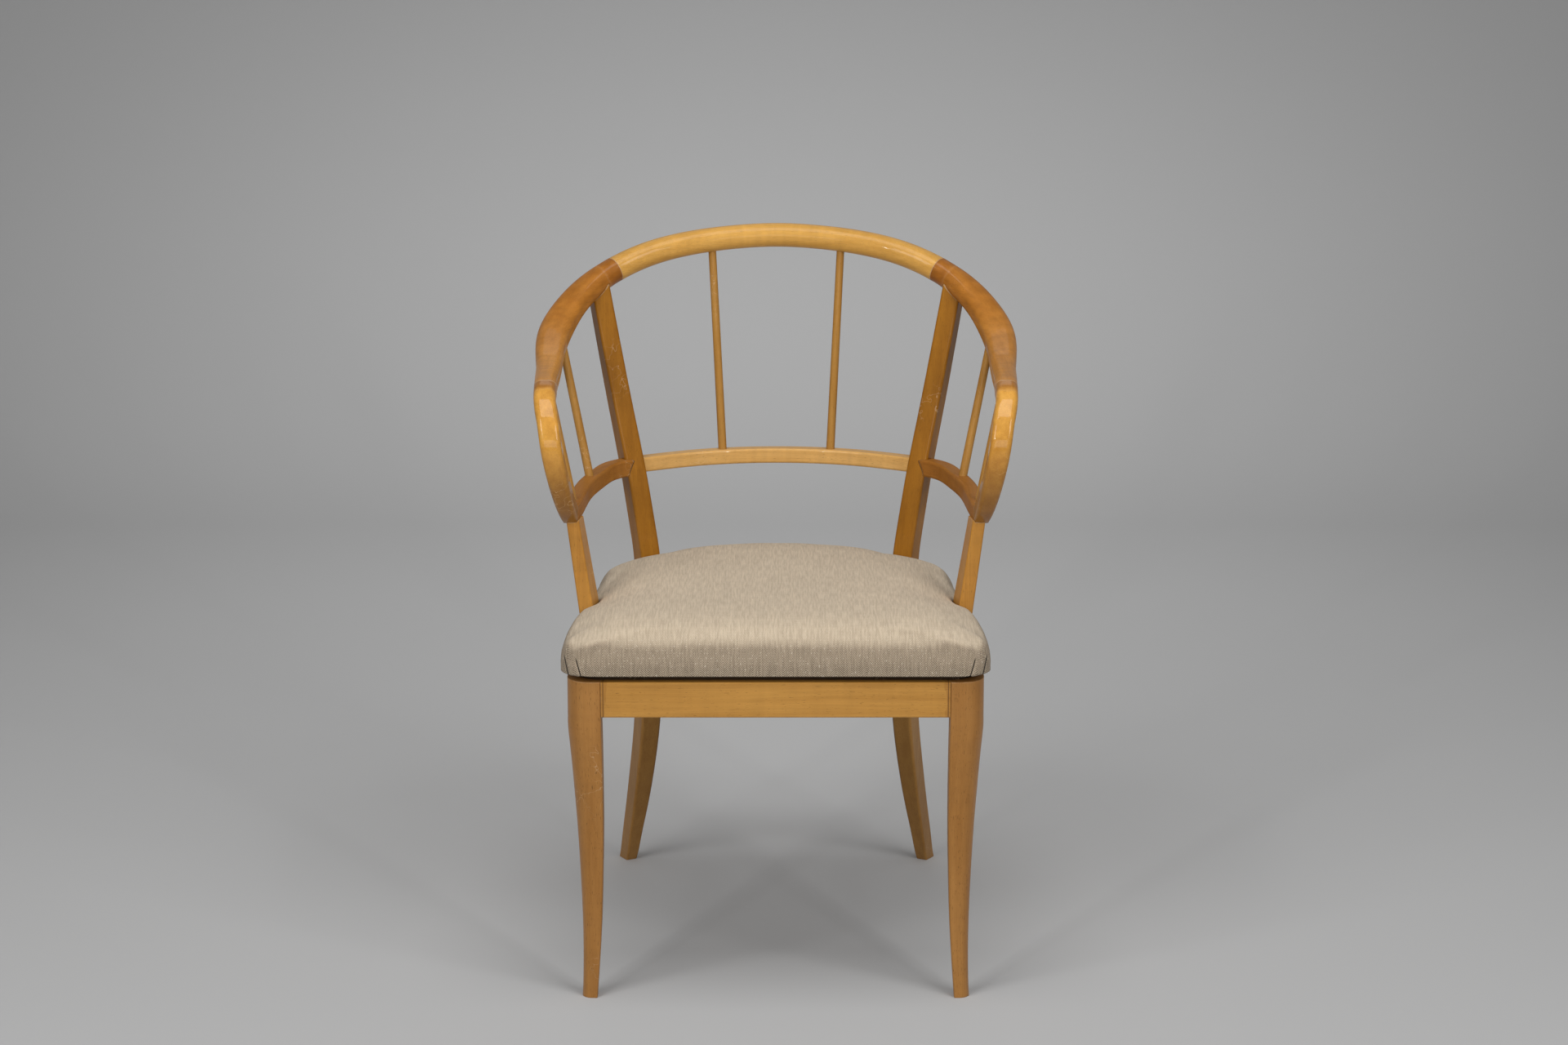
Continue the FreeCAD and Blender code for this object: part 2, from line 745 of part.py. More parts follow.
rear_post_blank = feature("rear_post_blank", post_shape(0))
arm_post_blank = feature("arm_post_blank", arm_post_shape(0, 0))
crest_blank = bow_piece("crest_blank", -CREST_STATION, CREST_STATION)
shoulder_blank = bow_piece("shoulder_blank", CREST_STATION, ARM_JOINT)
arm_front_blank = bow_piece("arm_front_blank", ARM_JOINT, MITRE)
side_mid_rail_blank = rail_piece(
    "side_mid_rail_blank", 0, RAIL_POST_STATION,
    size["side_mid_rail_height"], size["side_mid_rail_middle"],
)
back_rail_start = RAIL_POST_STATION + BACK_RAIL_START_SHARE
back_mid_rail_blank = rail_piece(
    "back_mid_rail_blank", back_rail_start, 2 * RAIL_MIDDLE - back_rail_start,
    size["back_mid_rail_height"], size["back_mid_rail_middle"],
)

# Spindles, each let into the middle rail and into the bow
spindles = {}
for name, rail_station, bow_station, inward in SPINDLE_SHARES:
    foot = spot_on(rail_path, rail_station)[0]
    if rail_station > RAIL_POST_STATION:
        foot.z = size["back_mid_rail_middle"]
    center, along, side, rise = bow_frame(bow_station)
    half_side, half_rise, roundness = smooth(bow_section, bow_station)
    head = center - side * (inward * half_side) - rise * (SPINDLE_HEAD_SHARE * half_rise)
    keep(name + "_length", (head - foot).Length)
    spindle = doc.addObject("Part::Cone", name + "_right")
    spindle.Label = name + "_right"
    spindle.setExpression("Radius1", "Sizes.spindle_diameter / 2")
    spindle.setExpression("Radius2", "Sizes.spindle_head_diameter / 2")
    spindle.setExpression("Height", "Sizes.%s_length" % name)
    spindle.Placement = FreeCAD.Placement(foot, FreeCAD.Rotation(UP, head - foot))
    spindles[name] = spindle

# Tenons and dowels of the bow and of the middle rail
post_direction = unit(post_center(post_top.z) - post_center(post_top.z - size["post_tenon_length"]))
post_tenon_start = post_top - post_direction * (size["post_tenon_length"] - size["post_tenon_rise"])
post_tenon = round_bar(
    "post_tenon", post_tenon_start, post_direction, "post_tenon_length", "post_tenon_diameter"
)
crest_center, crest_along = bow_frame(CREST_STATION)[:2]
crest_dowel = dowel("crest_dowel", crest_center, crest_along, "dowel_length", "dowel_diameter")
joint_center, joint_along = bow_frame(ARM_JOINT)[:2]
arm_dowel = dowel("arm_dowel", joint_center, joint_along, "dowel_length", "dowel_diameter")
mitre_shift = mitre_normal * (MITRE_DOWEL_SHARE * size["small_dowel_length"])
mitre_dowel = dowel(
    "mitre_dowel", mitre - mitre_shift, mitre_normal, "small_dowel_length", "small_dowel_diameter"
)
side_spot, side_along = spot_on(rail_path, SIDE_DOWEL_STATION)
side_rail_dowel = dowel(
    "side_rail_dowel", side_spot, side_along, "small_dowel_length", "small_dowel_diameter"
)
back_spot, back_along = spot_on(rail_path, BACK_DOWEL_STATION)
back_spot.z = size["back_mid_rail_middle"]
back_rail_dowel = dowel(
    "back_rail_dowel", back_spot, back_along, "small_dowel_length", "small_dowel_diameter"
)
arm_tenon_x = (size["arm_post_top_half_spread"] + mitre.x) / 2
arm_tenon_turn = unit(arm_back + UP.cross(RIGHT))
arm_tenon_shift = (
    size["arm_post_length"] / 2 - size["arm_tenon_inset"] - size["arm_tenon_width"]
)
arm_tenon = bar(
    "arm_tenon",
    place(arm_tenon_x, size["arm_post_depth"], mid_rail_bottom - size["arm_tenon_inset"])
    + arm_tenon_turn * arm_tenon_shift
    - arm_tenon_turn.cross(UP) * (size["arm_tenon_thickness"] / 2),
    size["arm_post_turn"] / 2,
    "Sizes.arm_tenon_thickness",
    "Sizes.arm_tenon_width",
    "Sizes.arm_tenon_length + Sizes.arm_tenon_inset",
)

# Seat frame: the side rails run inwards from the front legs to the rear posts
thickness = size["seat_rail_thickness"]
leg_back = size["front_leg_width"]
leg_inner = size["front_leg_inner"]
rear_face = size["back_rail_front_depth"]
rail_end = rear_face - size["side_rail_setback"]
side_front = Vector(size["front_leg_outer"] - size["side_rail_front_offset"], leg_back, 0)
side_run = unit(Vector(size["side_rail_rear_half_width"], rail_end, 0) - side_front)
side_out = side_run.cross(UP)


def side_face(depth, inset):
    """Place across at a depth, on a line inside the side rail's outer face."""
    return side_front.x + (depth - side_front.y) * side_run.x / side_run.y - inset / side_run.y


side_rail_board = outline_body(
    "side_rail_board",
    (
        (side_face(leg_back, thickness), leg_back),
        (side_face(leg_back, 0), leg_back),
        (side_face(rail_end, 0), rail_end),
        (side_face(rail_end, thickness), rail_end),
    ),
    "Sizes.seat_rail_bottom",
    "Sizes.seat_rail_height",
)
tenon_half = size["tenon_thickness"] / 2
tenon_bottom = size["seat_rail_bottom"] + size["tenon_shoulder"]
tenon_height = "Sizes.seat_rail_height - 2 * Sizes.tenon_shoulder"
tenon_left = side_face(leg_back, thickness / 2) - tenon_half
side_tenon = bar(
    "side_tenon",
    place(tenon_left, leg_back - size["tenon_length"], tenon_bottom),
    0,
    "Sizes.tenon_thickness",
    "Sizes.tenon_length + Sizes.tenon_shoulder",
    tenon_height,
)
side_mortise = bar(
    "side_mortise",
    place(tenon_left, leg_back - size["tenon_length"] - size["mortise_spare"], tenon_bottom),
    0,
    "Sizes.tenon_thickness",
    "Sizes.tenon_length + Sizes.mortise_spare",
    tenon_height,
)
front_mortise = bar(
    "front_mortise",
    place(leg_inner, thickness / 2 - tenon_half, tenon_bottom),
    0,
    "Sizes.tenon_length + Sizes.mortise_spare",
    "Sizes.tenon_thickness",
    tenon_height,
)
seat_dowels = []
for number, share in enumerate(DOWEL_HEIGHT_SHARES):
    z = size["seat_rail_bottom"] + share * size["seat_rail_height"]
    crossing = rail_end - size["side_rail_setback"]
    seat_dowels.append(dowel(
        "side_seat_dowel_%d" % number,
        place(side_face(crossing, thickness / 2), crossing, z),
        side_run,
        "dowel_length",
        "dowel_diameter",
    ))
for number, share in enumerate(DOWEL_HEIGHT_SHARES):
    z = size["seat_rail_bottom"] + share * size["seat_rail_height"]
    depth = rear_face + BACK_DOWEL_DEPTH_SHARE * size["back_rail_thickness"]
    seat_dowels.append(dowel(
        "back_seat_dowel_%d" % number,
        place(side_face(rear_face, thickness), depth, z),
        RIGHT,
        "dowel_length",
        "dowel_diameter",
    ))

# Corner blocks inside the frame, with the screws that hold them and the seat
reach = size["block_reach"]
block_base = "Sizes.seat_rail_top - Sizes.block_drop - Sizes.block_height"
block_bottom_z = size["seat_rail_top"] - size["block_drop"] - size["block_height"]
block_middle_z = block_bottom_z + size["block_height"] / 2
front_corners = (
    (leg_inner - reach, thickness),
    (leg_inner, thickness),
    (leg_inner, leg_back),
    (side_face(leg_back, thickness), leg_back),
    (side_face(leg_back + reach, thickness), leg_back + reach),
)
rear_corners = (
    (side_face(rear_face - reach, thickness), rear_face - reach),
    (side_face(rear_face, thickness), rear_face),
    (side_face(rear_face, thickness) - reach, rear_face),
)
front_block = outline_body("front_block", front_corners, block_base, "Sizes.block_height")
rear_block = outline_body("rear_block", rear_corners, block_base, "Sizes.block_height")


def block_screw(label, start, end, share):
    """Screw square through the diagonal face into the leg or post behind the block."""
    first, last = place(*start, block_middle_z), place(*end, block_middle_z)
    direction = unit(last - first).cross(UP)
    return screw(label, first + (last - first) * share, direction, "block_screw_length")


front_block_screw = block_screw(
    "front_block_screw", front_corners[0], front_corners[-1], FRONT_BLOCK_SCREW_SHARE
)
rear_block_screw = block_screw(
    "rear_block_screw", rear_corners[0], rear_corners[-1], REAR_BLOCK_SCREW_SHARE
)
across, back = FRONT_SEAT_SCREW_SHARES
front_seat_screw = screw(
    "front_seat_screw",
    place(leg_inner - across * reach, thickness + back * reach, block_bottom_z),
    UP,
    "seat_screw_length",
)
across, back = REAR_SEAT_SCREW_SHARES
rear_seat_screw = screw(
    "rear_seat_screw",
    place(side_face(rear_face, thickness) - across * reach, rear_face - back * reach, block_bottom_z),
    UP,
    "seat_screw_length",
)
arm_screws = []
for number, (back, up) in enumerate(ARM_SCREW_SHARES):
    depth = size["arm_post_depth"] + back * size["arm_post_length"]
    z = size["seat_rail_bottom"] + up * size["seat_rail_height"]
    start = place(side_face(depth, thickness), depth, z)
    arm_screws.append(screw("arm_screw_%d" % number, start, side_out, "arm_screw_length"))

# Seat pad: lines and arcs in plan, drawn in towards the crown
pad_length = size["pad_back_depth"] + size["pad_front_overhang"]
pad_middle = pad_length / 2 - size["pad_front_overhang"]


def pad_ring(z, inset):
    """Outline of the pad at a height, drawn in by a distance at its widest places."""
    narrow = 1 - inset / size["pad_half_width"]
    shorten = 1 - 2 * inset / pad_length

    def spot(across, back):
        depth = back * pad_length - size["pad_front_overhang"]
        return place(
            across * size["pad_half_width"] * narrow,
            pad_middle + (depth - pad_middle) * shorten,
            z,
        )

    across, back = PAD_FRONT_SHARES
    right = [spot(across, back)]
    for middle, end in PAD_ARC_SHARES:
        right += [spot(*middle), spot(*end)]
    left = [Vector(-point.x, point.y, point.z) for point in right[::-1]]
    run = right + [spot(0, 1)] + left
    edges = [Part.LineSegment(left[-1], right[0]).toShape()]
    for number in range(0, len(run) - 2, 2):
        edges.append(Part.Arc(*run[number:number + 3]).toShape())
    return Part.Wire(edges)


def pad_shape(shrink):
    """Whole pad, drawn in all round by a distance."""
    rings = []
    for up, inward, crown in PAD_SLICE_SHARES:
        height = size["pad_edge_height"] - size["pad_bottom"] - 2 * shrink
        z = size["pad_bottom"] + shrink + up * height + crown * size["pad_crown"]
        rings.append(pad_ring(z, inward * size["pad_crown"] + shrink))
    return skin(rings)


def post_rooms(label, grow):
    """Space round the four posts that pass the seat, grown by a distance."""
    arm_room = feature(label + "_arm_room", arm_post_shape(grow, size["arm_post_length"]))
    rear_room = feature(label + "_rear_room", post_shape(grow))
    twins = [mirrored(item.Label + "_left", item) for item in (arm_room, rear_room)]
    return [arm_room, rear_room] + twins


def plate(label, inset, height):
    """Flat board on the rails, cut to the pad's outline."""
    outline = pad_ring(size["seat_rail_top"], inset)
    return feature(label, Part.Face(outline).extrude(UP * height))


gap = size["soft_gap"]
cover = size["cover_thickness"]
board_blank = plate("board_blank", size["board_inset"], size["board_thickness"])
board_room = plate("board_room", size["board_inset"] - gap, size["board_thickness"] + gap)
pad_outer = cut("pad_outer", feature("pad_blank", pad_shape(0)), post_rooms("cover", gap))
pad_inner = cut(
    "pad_inner", feature("pad_hollow", pad_shape(cover)), post_rooms("hollow", gap + cover)
)
doc.recompute()
walls = [pad_outer.Shape.Shells[0], pad_inner.Shape.Shells[0].reversed()]
cover_blank = feature("cover_blank", Part.makeSolid(Part.makeCompound(walls)))

# Pieces of the right-hand side, each with its joints cut
shoulder = cut("shoulder_right", shoulder_blank, [
    post_tenon, spindles["side_spindle"], spindles["front_spindle"], crest_dowel, arm_dowel
])
arm_front = cut("arm_front_right", arm_front_blank, [arm_dowel, mitre_dowel])
rear_post_coped = cut("rear_post_coped", rear_post_blank, [shoulder_blank])
rear_post = cut("rear_post_right", fuse("rear_post_tenoned", [rear_post_coped, post_tenon]), [
    side_rail_dowel, back_rail_dowel, rear_block_screw
] + seat_dowels)
front_leg = cut("front_leg_right", front_leg_blank, [
    front_mortise, side_mortise, front_block_screw
])
arm_post_coped = cut("arm_post_coped", arm_post_blank, [arm_front_blank, side_mid_rail_blank])
arm_post = cut("arm_post_right", fuse("arm_post_tenoned", [arm_post_coped, arm_tenon]), arm_screws)
mid_rail = cut("mid_rail_right", side_mid_rail_blank, [
    rear_post_blank, arm_tenon, spindles["side_spindle"], spindles["front_spindle"],
    mitre_dowel, side_rail_dowel,
])
seat_rail_tenoned = fuse("seat_rail_tenoned", [side_rail_board, side_tenon])
seat_rail = cut("seat_rail_right", seat_rail_tenoned, [
    rear_post_blank, arm_post_blank
] + seat_dowels[:len(DOWEL_HEIGHT_SHARES)] + arm_screws)
front_corner = cut("corner_block_front_right", front_block, [front_block_screw, front_seat_screw])
rear_corner = cut("corner_block_rear_right", rear_block, [
    rear_post_blank, rear_block_screw, rear_seat_screw
])
right_pieces = [
    shoulder, arm_front, rear_post, front_leg, arm_post, mid_rail, seat_rail, front_corner,
    rear_corner,
] + list(spindles.values())
left_pieces = [mirrored(item.Label.replace("right", "left"), item) for item in right_pieces]

# Pieces on the middle line
left_post_blank = mirrored("rear_post_blank_left", rear_post_blank)
crest_tools = [crest_dowel, spindles["back_spindle"]]
crest = cut("crest_rail", crest_blank, crest_tools + [
    mirrored(item.Label + "_opposite", item) for item in crest_tools
])
back_tools = [back_rail_dowel, spindles["back_spindle"]]
mid_rail_back = cut("mid_rail_back", back_mid_rail_blank, back_tools + [
    mirrored(item.Label + "_reverse", item) for item in back_tools
] + [rear_post_blank, left_post_blank])


def straight_rail(label, depth, sections):
    """Rail across the chair, built up from centred sections with eased long edges."""
    body = doc.addObject("PartDesign::Body", label)
    body.setExpression("Placement.Base.y", "%s - Sizes.origin_depth" % depth)
    body.setExpression("Placement.Base.z", "Sizes.seat_rail_top - Sizes.seat_rail_height / 2")
    plane = [entry for entry in body.Origin.OriginFeatures if entry.Role == "YZ_Plane"][0]
    for number, (width, height, length) in enumerate(sections):
        sketch = body.newObject("Sketcher::SketchObject", "%s_section_%d" % (label, number))
        sketch.AttachmentSupport = [(plane, "")]
        sketch.MapMode = "FlatFace"
        corners = [Vector(-1, -1, 0), Vector(1, -1, 0), Vector(1, 1, 0), Vector(-1, 1, 0)]
        for index, corner in enumerate(corners):
            following = corners[(index + 1) % len(corners)]
            sketch.addGeometry(Part.LineSegment(corner, following), False)
        for index in range(len(corners)):
            following = (index + 1) % len(corners)
            sketch.addConstraint(Sketcher.Constraint("Coincident", index, 2, following, 1))
        for index in (0, 2):
            sketch.addConstraint(Sketcher.Constraint("Horizontal", index))
            sketch.addConstraint(Sketcher.Constraint("Vertical", index + 1))
        sketch.addConstraint(Sketcher.Constraint("Symmetric", 0, 1, 2, 1, -1, 1))
        wide = sketch.addConstraint(Sketcher.Constraint("DistanceX", 0, 1, 0, 2, 2))
        tall = sketch.addConstraint(Sketcher.Constraint("DistanceY", 1, 1, 1, 2, 2))
        sketch.setExpression("Constraints[%d]" % wide, width)
        sketch.setExpression("Constraints[%d]" % tall, height)
        pad = body.newObject("PartDesign::Pad", "%s_run_%d" % (label, number))
        pad.Profile = sketch
        pad.Midplane = True
        pad.setExpression("Length", length)
        doc.recompute()
        if number == 0:
            names = []
            for index, edge in enumerate(pad.Shape.Edges):
                if abs(edge.tangentAt(edge.FirstParameter).dot(RIGHT)) > math.sqrt(1 / 2):
                    names.append("Edge%d" % (index + 1))
            easing = body.newObject("PartDesign::Fillet", label + "_easing")
            easing.Base = (pad, names)
            easing.setExpression("Radius", "Sizes.rail_edge_radius")
    return body


front_rail = straight_rail("seat_rail_front", "Sizes.seat_rail_thickness / 2", (
    ("Sizes.seat_rail_thickness", "Sizes.seat_rail_height", "Sizes.front_leg_gap"),
    (
        "Sizes.tenon_thickness",
        tenon_height,
        "Sizes.front_leg_gap + 2 * Sizes.tenon_length",
    ),
))
keep("back_rail_length", 2 * size["rear_post_half_spread"] - size["rear_post_edge_radius"])
back_rail_body = straight_rail(
    "back_rail_blank",
    "Sizes.back_rail_front_depth + Sizes.back_rail_thickness / 2",
    (("Sizes.back_rail_thickness", "Sizes.seat_rail_height", "Sizes.back_rail_length"),),
)
back_rail_dowels = seat_dowels[len(DOWEL_HEIGHT_SHARES):]
back_rail = cut("seat_rail_back", back_rail_body, back_rail_dowels + [
    mirrored(item.Label + "_opposite", item) for item in back_rail_dowels
] + [rear_post_blank, left_post_blank])
seat_screws = group("seat_screws", [front_seat_screw, rear_seat_screw])
board = cut("seat_board", board_blank, post_rooms("board", gap) + [seat_screws])
foam = cut(
    "seat_foam",
    feature("foam_blank", pad_shape(cover + gap)),
    post_rooms("foam", 2 * gap + cover) + [board_room],
)
seat_cover = cut("seat_cover", cover_blank, [board_room])
middle_pieces = [
    crest, mid_rail_back, front_rail, back_rail, board, foam, seat_cover, seat_screws,
    group("corner_block_screws", [front_block_screw, rear_block_screw]),
    group("arm_post_screws", arm_screws),
    group("bow_dowels", [crest_dowel, arm_dowel]),
    group("mid_rail_dowels", [mitre_dowel, side_rail_dowel, back_rail_dowel]),
    group("seat_rail_dowels", seat_dowels),
]
doc.recompute()

for item in doc.Objects:
    if "Invalid" in item.State or "Error" in item.State:
        raise RuntimeError("%s did not rebuild: %s" % (item.Label, item.State))
for item in right_pieces + left_pieces + middle_pieces:
    if item.Shape.isNull() or not item.Shape.isValid():
        raise RuntimeError("%s has no valid shape" % item.Label)
    item.Shape.exportStep("parts/%s.step" % item.Label)
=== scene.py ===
import math

import bmesh
import bpy
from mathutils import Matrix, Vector
from mathutils.bvhtree import BVHTree
from mathutils.kdtree import KDTree


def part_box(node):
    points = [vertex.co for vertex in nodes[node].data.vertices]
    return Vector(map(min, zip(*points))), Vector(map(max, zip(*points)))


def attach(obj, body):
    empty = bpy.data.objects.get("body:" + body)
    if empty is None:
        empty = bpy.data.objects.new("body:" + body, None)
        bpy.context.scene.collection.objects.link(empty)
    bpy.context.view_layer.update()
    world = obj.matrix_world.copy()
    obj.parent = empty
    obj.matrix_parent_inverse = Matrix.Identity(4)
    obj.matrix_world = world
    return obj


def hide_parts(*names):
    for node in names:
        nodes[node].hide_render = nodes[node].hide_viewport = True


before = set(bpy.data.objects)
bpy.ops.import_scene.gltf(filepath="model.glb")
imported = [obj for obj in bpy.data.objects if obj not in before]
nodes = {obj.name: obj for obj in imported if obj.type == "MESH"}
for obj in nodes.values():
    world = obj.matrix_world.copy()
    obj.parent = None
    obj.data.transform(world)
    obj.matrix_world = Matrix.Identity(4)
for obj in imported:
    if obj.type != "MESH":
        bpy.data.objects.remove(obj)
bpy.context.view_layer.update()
scene = bpy.context.scene


# SHADER GRAPHS

class Graph:
    """A material's node tree, with one short call per kind of node."""

    def __init__(self, name):
        self.material = bpy.data.materials.new(name)
        self.material.use_nodes = True
        self.tree = self.material.node_tree
        self.tree.nodes.clear()
        self.shader = self.add("ShaderNodeBsdfPrincipled")
        output = self.add("ShaderNodeOutputMaterial")
        self.tree.links.new(self.shader.outputs["BSDF"], output.inputs["Surface"])

    def add(self, kind, **settings):
        node = self.tree.nodes.new(kind)
        for key, value in settings.items():
            setattr(node, key, value)
        return node

    def feed(self, socket, value):
        """Links a socket to another node's output, or sets it to a plain value."""
        if isinstance(value, bpy.types.NodeSocket):
            self.tree.links.new(value, socket)
        elif isinstance(value, tuple) and len(value) == 3 and socket.type == "RGBA":
            socket.default_value = (*value, 1)
        else:
            socket.default_value = value

    def set(self, **values):
        """Sets or feeds the shader's own sockets, with _ for the spaces of their names."""
        for name, value in values.items():
            self.feed(self.shader.inputs[name.replace("_", " ")], value)

    def math(self, operation, first, second=0.0, third=0.0):
        node = self.add("ShaderNodeMath", operation=operation)
        for socket, value in zip(node.inputs, (first, second, third)):
            self.feed(socket, value)
        return node.outputs[0]

    def plus(self, first, second):
        return self.math("ADD", first, second)

    def minus(self, first, second):
        return self.math("SUBTRACT", first, second)

    def times(self, first, second):
        return self.math("MULTIPLY", first, second)

    def absolute(self, value):
        return self.math("ABSOLUTE", value)

    def clamped(self, value, low, high):
        """0 below low, 1 above high, with a smooth rise between."""
        node = self.add("ShaderNodeMapRange", interpolation_type="SMOOTHSTEP")
        self.feed(node.inputs["Value"], value)
        node.inputs["From Min"].default_value = low
        node.inputs["From Max"].default_value = high
        return node.outputs["Result"]

    def fading(self, value, low, high):
        """1 below low, 0 above high, with a smooth fall between."""
        return self.minus(1.0, self.clamped(value, low, high))

    def ranged(self, value, low, high):
        """A 0 to 1 value stretched to the range low to high."""
        node = self.add("ShaderNodeMapRange")
        self.feed(node.inputs["Value"], value)
        node.inputs["To Min"].default_value = low
        node.inputs["To Max"].default_value = high
        return node.outputs["Result"]

    def mix(self, share, first, second, blend="MIX"):
        node = self.add("ShaderNodeMix", data_type="RGBA", blend_type=blend)
        self.feed(node.inputs["Factor"], share)
        self.feed(node.inputs[6], first)
        self.feed(node.inputs[7], second)
        return node.outputs[2]

    def shaded(self, colour, value):
        """A colour times a grey value."""
        return self.mix(1.0, colour, self.vector(value, value, value), "MULTIPLY")

    def vector(self, x, y, z):
        node = self.add("ShaderNodeCombineXYZ")
        for socket, value in zip(node.inputs, (x, y, z)):
            self.feed(socket, value)
        return node.outputs[0]

    def parts(self, vector):
        node = self.add("ShaderNodeSeparateXYZ")
        self.feed(node.inputs[0], vector)
        return node.outputs

    def stretched(self, vector, scale, shift=(0, 0, 0)):
        node = self.add("ShaderNodeMapping")
        self.feed(node.inputs["Vector"], vector)
        node.inputs["Scale"].default_value = scale
        node.inputs["Location"].default_value = shift
        return node.outputs[0]

    def noise(self, vector, scale=1.0, detail=2.0, roughness=0.5):
        node = self.add("ShaderNodeTexNoise")
        self.feed(node.inputs["Vector"], vector)
        node.inputs["Scale"].default_value = scale
        node.inputs["Detail"].default_value = detail
        node.inputs["Roughness"].default_value = roughness
        return node.outputs["Fac"]

    def centred_noise(self, vector, scale, detail, reach):
        """Noise about zero, as long as reach from end to end."""
        return self.times(self.minus(self.noise(vector, scale, detail), 0.5), reach)

    def bump(self, height, distance, strength=1.0, under=None):
        node = self.add("ShaderNodeBump")
        node.inputs["Strength"].default_value = strength
        node.inputs["Distance"].default_value = distance
        self.feed(node.inputs["Height"], height)
        if under is not None:
            self.feed(node.inputs["Normal"], under)
        return node.outputs[0]

    def place(self):
        return self.add("ShaderNodeTexCoord").outputs["Object"]


# WOOD

BOW_RADIUS = 0.262
ARRIS_RADIUS = 0.0022


def grain_along_bow(graph):
    """Length along the horseshoe, and the two ways across it."""
    x, y, z = graph.parts(graph.place())
    behind = graph.math("MAXIMUM", y, 0.0)
    ahead = graph.math("MINIMUM", y, 0.0)
    angle = graph.math("ARCTAN2", x, behind)
    straight = graph.times(graph.math("SIGN", x), ahead)
    along = graph.minus(graph.times(angle, BOW_RADIUS), straight)
    radius = graph.math("SQRT", graph.plus(graph.times(x, x), graph.times(behind, behind)))
    return graph.vector(along, radius, z)


def grain_upright(graph):
    x, y, z = graph.parts(graph.place())
    return graph.vector(z, x, y)


def grain_crosswise(graph):
    return graph.place()


def grain_deep(graph):
    x, y, z = graph.parts(graph.place())
    return graph.vector(y, x, z)


# Glued joints on the right-hand side: a point of the joint's plane and the way outwards
# along the wood. The left-hand side mirrors them.
CREST_JOINT = ((0.19947, 0.21422, 0.78008), (0.7816, -0.4935, -0.3816))
ARM_JOINT = ((0.26814, -0.08958, 0.68550), (-0.0195, -0.9889, -0.1471))
BOW_JOINTS = (CREST_JOINT, ARM_JOINT)
RAIL_SEAM = ((0.1959, 0.0, 0.0), (1.0, 0.0, 0.0))
DARK_SEAM = (0.10, 0.040, 0.012)


def jointed(graph, colour, line, joint, side, reach, depth):
    """Thin line at a joint, and wood darkened to depth within reach on one side of it."""
    (spot_x, spot_y, spot_z), (way_x, way_y, way_z) = joint
    x, y, z = graph.parts(graph.place())
    off = graph.times(graph.minus(graph.absolute(x), spot_x), way_x)
    off = graph.plus(off, graph.times(graph.minus(y, spot_y), way_y))
    off = graph.plus(off, graph.times(graph.minus(z, spot_z), way_z))
    ragged = graph.centred_noise(graph.place(), 55, 3, 0.012)
    beside = graph.plus(graph.times(off, side), ragged)
    stain = graph.fading(beside, 0.55 * reach, reach)
    value = graph.ranged(stain, 1.0, depth)
    redder = graph.vector(value, graph.math("POWER", value, 1.35), graph.math("POWER", value, 1.6))
    stained = graph.mix(1.0, colour, redder, "MULTIPLY")
    rim = graph.times(graph.clamped(stain, 0.02, 0.2), graph.fading(stain, 0.25, 0.6))
    rimmed = graph.mix(graph.times(rim, 0.08), stained, line)
    glue = graph.fading(graph.absolute(off), 0.0003, 0.0009)
    return graph.mix(graph.times(glue, 0.75), rimmed, line)


def worn_and_highlit_arris(graph, flow, seed):
    """How far the lacquer is rubbed at an edge, a pale edge that also serves as a painted
    highlight, and the normal with that edge rounded.
    """
    rounded = graph.add("ShaderNodeBevel", samples=6)
    rounded.inputs["Radius"].default_value = ARRIS_RADIUS
    facing = graph.add("ShaderNodeVectorMath", operation="DOT_PRODUCT")
    graph.feed(facing.inputs[0], rounded.outputs[0])
    graph.feed(facing.inputs[1], graph.add("ShaderNodeNewGeometry").outputs["Normal"])
    edge = graph.minus(1.0, facing.outputs["Value"])
    patchy = graph.noise(graph.stretched(flow, (45, 160, 160), (seed, 0, 0)), detail=3)
    patches = graph.ranged(graph.clamped(patchy, 0.35, 0.65), 0.35, 1.0)
    return graph.times(graph.clamped(edge, 0.03, 0.20), patches), rounded.outputs[0]


def scratches(graph, flow, seed):
    """Hairlines where one noise crosses its middle, in the patches that another leaves."""
    contour = graph.noise(graph.stretched(flow, (60, 60, 60), (seed, seed, seed)), detail=2)
    hairline = graph.fading(graph.absolute(graph.minus(contour, 0.5)), 0.0, 0.010)
    spread = graph.noise(graph.stretched(flow, (14, 14, 14), (0, seed, seed)), detail=1)
    return graph.times(hairline, graph.clamped(spread, 0.60, 0.72))


